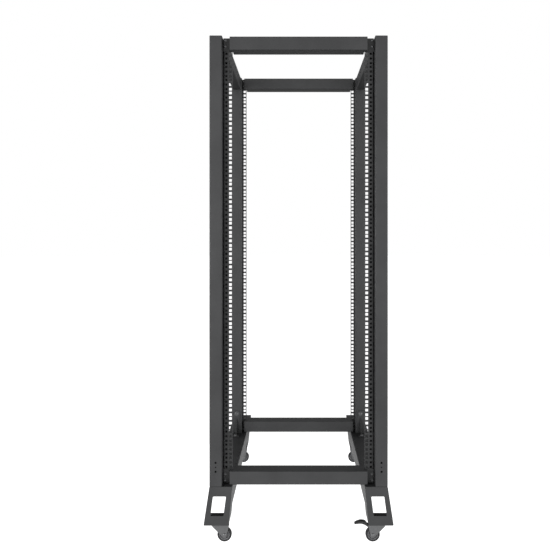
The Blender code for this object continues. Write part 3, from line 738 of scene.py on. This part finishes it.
def fork(corner, at):
    """A pressed fork: a round crown, a bridge over the wheel and a leg on each side of it."""
    node = f"fork_{corner}"
    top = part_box(node)[1].z
    hub = Vector((-TRAIL, wheel_centre(corner).z))
    crown_bottom = top - CROWN_THICKNESS
    leg_outer = LEG_INNER + LEG_THICKNESS
    crown = rounded([(0, top), (CROWN_RADIUS, top), (CROWN_RADIUS, crown_bottom), (0, crown_bottom)],
                    [0, 0.0012, 0.0008, 0], closed=False)
    piece = start(f"{node}_finished", moved(turned("crown", crown), at))
    bridge = oblong((-TRAIL - BRIDGE_LENGTH, 0), (LEDGE - leg_outer, leg_outer - LEDGE), 0.003)
    combine(piece, "UNION", moved(prisms("bridge", "Z", crown_bottom + LEDGE, top - LEDGE, bridge), at))
    boss = [hub + BOSS_RADIUS * Vector((math.cos(angle), math.sin(angle)))
            for angle in (math.radians(-40 - 160 * step / 12) for step in range(13))]
    nose = [(0.0150, top - 0.0015), (0.0150, 0.0545)]
    rear = [(-TRAIL - 0.0150, 0.0500), (-TRAIL - 0.0150, top - 0.0015)]
    bends = [0.003, 0.005] + [0.0] * len(boss) + [0.008, 0.003]
    outline = rounded(nose + boss + rear, bends)
    for side, leg_sign in SIDES.items():
        span = sorted((leg_sign * LEG_INNER, leg_sign * leg_outer))
        leg = bevelled(prisms(f"{side}_leg", "Y", *span, outline), 0.0006)
        combine(piece, "UNION", moved(leg, at))
    pin_hole = prisms("king_pin_hole", "Z", top - CLEAR, top + CLEAR,
                      circle((0, 0), KING_PIN_RADIUS + GAP))
    combine(piece, "DIFFERENCE", moved(pin_hole, at))
    axle_hole = prisms("axle_hole", "Y", -2 * CLEAR, 2 * CLEAR, circle(hub, AXLE_RADIUS + GAP))
    combine(piece, "DIFFERENCE", moved(axle_hole, at))
    if corner == BRAKED_CASTER:
        low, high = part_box(f"brake_pin_{corner}")
        pin = at.inverted() @ ((low + high) / 2)
        pin_hole = prisms("brake_pin_hole", "Y", -2 * CLEAR, 2 * CLEAR,
                          circle((pin.x, pin.z), PEDAL_PIN_RADIUS + GAP))
        combine(piece, "DIFFERENCE", moved(pin_hole, at))
    complete(piece, "zinc", f"caster_{corner}", node)


def bevelled(mesh, width, segments=2):
    """The mesh with its sharp edges rounded at once."""
    piece = start("bevelling", mesh)
    soften(piece, width, segments)
    result = settle(piece)
    result.name = mesh.name
    bpy.data.objects.remove(piece)
    return result


def along_y(spot):
    """Lays a turned mesh's axis along Y, through the spot."""
    return Matrix.Translation(spot) @ Matrix.Rotation(math.pi / 2, 4, "X")


def axle(corner):
    """A shouldered axle: a domed head on one side, and a hexagon nut on the other."""
    node = f"axle_{corner}"
    low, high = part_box(node)
    centre = (low + high) / 2
    half = (high.y - low.y) / 2
    seat = LEG_INNER + LEG_THICKNESS + GAP
    rod = rounded([
        (0, half), (0.0034, half), (0.0062, half - 0.0016), (0.0062, seat), (AXLE_RADIUS, seat),
        (AXLE_RADIUS, -seat), (0.0030, -seat), (0.0030, 0.0006 - half), (0.0024, -half), (0, -half)],
        [0, 0.0020, 0.0008, 0.0002, 0, 0, 0, 0, 0, 0], closed=False)
    piece = start(f"{node}_finished", turned("rod", rod, 32))
    nut = bevelled(prisms("nut", "Z", 0.0012 - half, -seat, circle((0, 0), 0.0064, 6)), 0.0005)
    combine(piece, "UNION", nut)
    settle(piece)
    piece.data.transform(along_y(centre))
    complete(piece, "zinc", f"caster_{corner}", node)


def wheel(corner):
    """A moulded core with five round pockets on each side, and a rounded tyre with two grooves."""
    centre = wheel_centre(corner)
    node = f"wheel_core_{corner}"
    rim = (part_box(node)[1].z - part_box(node)[0].z) / 2 - 0.0001
    half = [(AXLE_RADIUS + 0.0004, HUB_HALF), (0.0076, HUB_HALF), (0.0084, WEB_HALF), (0.0148, WEB_HALF),
            (0.0157, 0.0085), (rim, 0.0085)]
    bends = [0.0003, 0.0006, 0.0010, 0.0010, 0.0005, 0.0003]
    profile = rounded(half + mirrored_half(half), bends + bends[::-1])
    piece = start(f"{node}_finished", turned("core", profile, 64, ring=True))
    pockets = [circle((POCKET_RING * math.cos(angle), POCKET_RING * math.sin(angle)), POCKET_RADIUS)
               for angle in (math.radians(360 / POCKETS * index + 18) for index in range(POCKETS))]
    combine(piece, "DIFFERENCE", prisms("near_pockets", "Z", POCKET_FLOOR, 0.005, *pockets))
    combine(piece, "DIFFERENCE", prisms("far_pockets", "Z", -0.005, -POCKET_FLOOR, *pockets))
    settle(piece)
    piece.data.transform(along_y(centre))
    complete(piece, "grey_plastic", f"wheel_{corner}", node)

    node = f"tyre_{corner}"
    radius = (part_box(node)[1].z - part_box(node)[0].z) / 2
    inner = rim + 0.0004
    groove = radius - 0.0006
    half = [(inner, 0.0088), (0.0212, 0.0100), (radius - 0.0010, 0.0088), (radius, 0.0058),
            (radius, 0.0032), (groove, 0.0028), (groove, 0.0022), (radius, 0.0018)]
    bends = [0.0004, 0.0020, 0.0015, 0.0020, 0.0001, 0.0001, 0.0001, 0.0001]
    profile = rounded(half + mirrored_half(half), bends + bends[::-1])
    piece = start(f"{node}_finished", turned("tyre", profile, 64, ring=True))
    piece.data.transform(along_y(centre))
    complete(piece, "rubber", f"wheel_{corner}", node)


def mirrored_half(profile):
    """The same profile on the other side of the piece's middle."""
    return [(radius, -height) for radius, height in reversed(profile)]


def smooth_curve(points, steps):
    """A curve through the points, with the given number of steps between each pair."""
    spots = [Vector(point) for point in points]
    path = [spots[0] + (spots[0] - spots[1])] + spots + [spots[-1] + (spots[-1] - spots[-2])]
    curve = []
    for before, first, second, after in zip(path, path[1:], path[2:], path[3:]):
        for step in range(steps):
            share = step / steps
            curve.append(0.5 * (2 * first + (second - before) * share
                                + (2 * before - 5 * first + 4 * second - after) * share ** 2
                                + (3 * first - before - 3 * second + after) * share ** 3))
    return curve + [spots[-1]]


def brake_pedal(corner):
    """A hump-backed pedal with ribs across its tread, raised at rest, and its pin."""
    node = f"brake_pedal_{corner}"
    pin_node = f"brake_pin_{corner}"
    low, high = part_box(pin_node)
    pivot = (low + high) / 2
    pedal_low, pedal_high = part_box(node)
    half = (pedal_high.y - pedal_low.y) / 2
    top_curve = smooth_curve([(-0.0105, 0.0038), (-0.0150, 0.0095), (-0.0220, 0.0141), (-0.0340, 0.0154),
                              (-0.0460, 0.0122), (-0.0555, 0.0070)], 4)
    under_curve = smooth_curve([(-0.0560, 0.0050), (-0.0460, 0.0062), (-0.0340, 0.0070), (-0.0240, 0.0045),
                                (-0.0160, 0.0000), (-0.0090, -0.0045), (-0.0040, -0.0051)], 4)
    boss = [PEDAL_BOSS * Vector((math.cos(angle), math.sin(angle)))
            for angle in (math.radians(-60 + 150 * step / 10) for step in range(11))]
    body = bevelled(prisms("pedal", "Y", -half, half, top_curve + under_curve + boss), 0.0007, 3)
    piece = start(f"{node}_finished", body)
    ribs = [circle(point, 0.0007, 10) for point in top_curve[6:19:2]]
    combine(piece, "UNION", prisms("ribs", "Y", 0.0025 - half, half - 0.0025, *ribs))
    combine(piece, "DIFFERENCE", prisms("pin_hole", "Y", -1, 1, circle((0, 0), PEDAL_PIN_RADIUS + GAP)))
    settle(piece)
    piece.data.transform(Matrix.Translation(pivot))
    complete(piece, "black_plastic", "brake", node)

    span = (high.y - low.y) / 2
    seat = LEG_INNER + LEG_THICKNESS + GAP
    half_pin = [(0, span), (0.0022, span), (PEDAL_PIN_HEAD, span - 0.0007), (PEDAL_PIN_HEAD, seat),
                (PEDAL_PIN_RADIUS, seat)]
    bends = [0, 0.0008, 0.0004, 0.0001, 0]
    profile = rounded(half_pin + mirrored_half(half_pin), bends + bends[::-1], closed=False)
    piece = start(f"{pin_node}_finished", moved(turned("pin", profile, 24), along_y(pivot)))
    complete(piece, "zinc", f"caster_{corner}", pin_node)


# ---------------------------------------------------------------- stage, light and camera

def stage():
    """A white floor that melts into a white dome. Only a card under the rack throws light back on it."""
    floor = start("floor", prisms("floor", "Z", -0.02, -0.0005, oblong((-40, 40), (-40, 40))))
    card = start("bounce_card", prisms("bounce_card", "Z", -0.0004, -0.0002,
                                       oblong((-0.45, 0.45), (-0.8, 0.8))))
    shape = bmesh.new()
    bmesh.ops.create_icosphere(shape, subdivisions=4, radius=35)
    dome = start("backdrop_dome", as_mesh("backdrop_dome", shape))
    for thing, shade, glow in ((floor, 0.35, FLOOR_GLOW), (dome, 0.0, DOME_GLOW), (card, 0.0, CARD_GLOW)):
        paint, _, shader = new_material(f"{thing.name}_white", specular=0.0)
        shader.inputs["Base Color"].default_value = (shade, shade, shade, 1)
        shader.inputs["Roughness"].default_value = 1.0
        shader.inputs["Emission Color"].default_value = (1, 1, 1, 1)
        shader.inputs["Emission Strength"].default_value = glow
        thing.data.materials.append(paint)
        thing.visible_camera = thing != card
        thing.visible_diffuse = thing == card
        thing.visible_glossy = thing == card
        thing.visible_transmission = False
        thing.visible_shadow = False
    bpy.context.scene.view_settings.view_transform = "Standard"


def surround():
    """The studio that the rack reflects: bright in front, dim behind, above and below."""
    world = bpy.data.worlds.new("studio")
    world.use_nodes = True
    tree = world.node_tree
    direction = add_node(tree, "ShaderNodeTexCoord", {}).outputs["Generated"]
    parts = add_node(tree, "ShaderNodeSeparateXYZ", {"Vector": direction})
    facing = add_node(tree, "ShaderNodeMapRange", {
        "Value": parts.outputs["Y"], "From Min": 0.2, "From Max": -0.9, "To Min": STUDIO_BACK,
        "To Max": STUDIO_FRONT}, interpolation_type="SMOOTHSTEP").outputs["Result"]
    tilt = add_node(tree, "ShaderNodeMath", {0: parts.outputs["Z"]}, operation="ABSOLUTE").outputs["Value"]
    level = add_node(tree, "ShaderNodeMapRange", {
        "Value": tilt, "From Min": 0.15, "From Max": 0.70, "To Min": 1.0, "To Max": STUDIO_TILTED},
        interpolation_type="SMOOTHSTEP").outputs["Result"]
    strength = add_node(tree, "ShaderNodeMath", {0: facing, 1: level}, operation="MULTIPLY")
    sky = tree.nodes["Background"]
    tree.links.new(strength.outputs["Value"], sky.inputs["Strength"])
    sky.inputs["Color"].default_value = (1, 1, 1, 1)
    bpy.context.scene.world = world


def lights():
    """Soft discs: two in front of the rack and two behind it, well out to the sides."""
    for name, spot, size, power in STUDIO_LIGHTS:
        lamp = bpy.data.lights.new(name, "AREA")
        lamp.shape = "DISK"
        lamp.size = size
        lamp.energy = power
        holder = bpy.data.objects.new(name, lamp)
        bpy.context.scene.collection.objects.link(holder)
        holder.location = spot
        holder.rotation_mode = "QUATERNION"
        holder.rotation_quaternion = (Vector((0, 0, 0.9)) - Vector(spot)).to_track_quat("-Z", "Y")


def camera():
    """At chest height in front of the rack, looking level along +Y. The shift frames the rack."""
    lens = bpy.data.cameras.new("camera")
    lens.sensor_width = 36
    lens.lens = 48.7
    lens.shift_x = -0.0429
    lens.shift_y = -0.0727
    holder = bpy.data.objects.new("camera", lens)
    bpy.context.scene.collection.objects.link(holder)
    holder.location = (0, -3.0, 1.05)
    holder.rotation_euler = (math.pi / 2, 0, 0)
    bpy.context.scene.camera = holder


# ---------------------------------------------------------------- the rack

for corner, end, sign in CORNERS:
    post(corner, sign)
    mounting_strip(corner, end, sign)
    foot(corner, end, sign)
    gusset(corner, end, sign)
    caster(corner, sign)
for end in ENDS:
    for level in ("top", "bottom"):
        crossbar(level, end)
for side, sign in SIDES.items():
    side_rail(side, sign)
    base_rail(side, sign)
brake_pedal(BRAKED_CASTER)
stage()
surround()
lights()
camera()
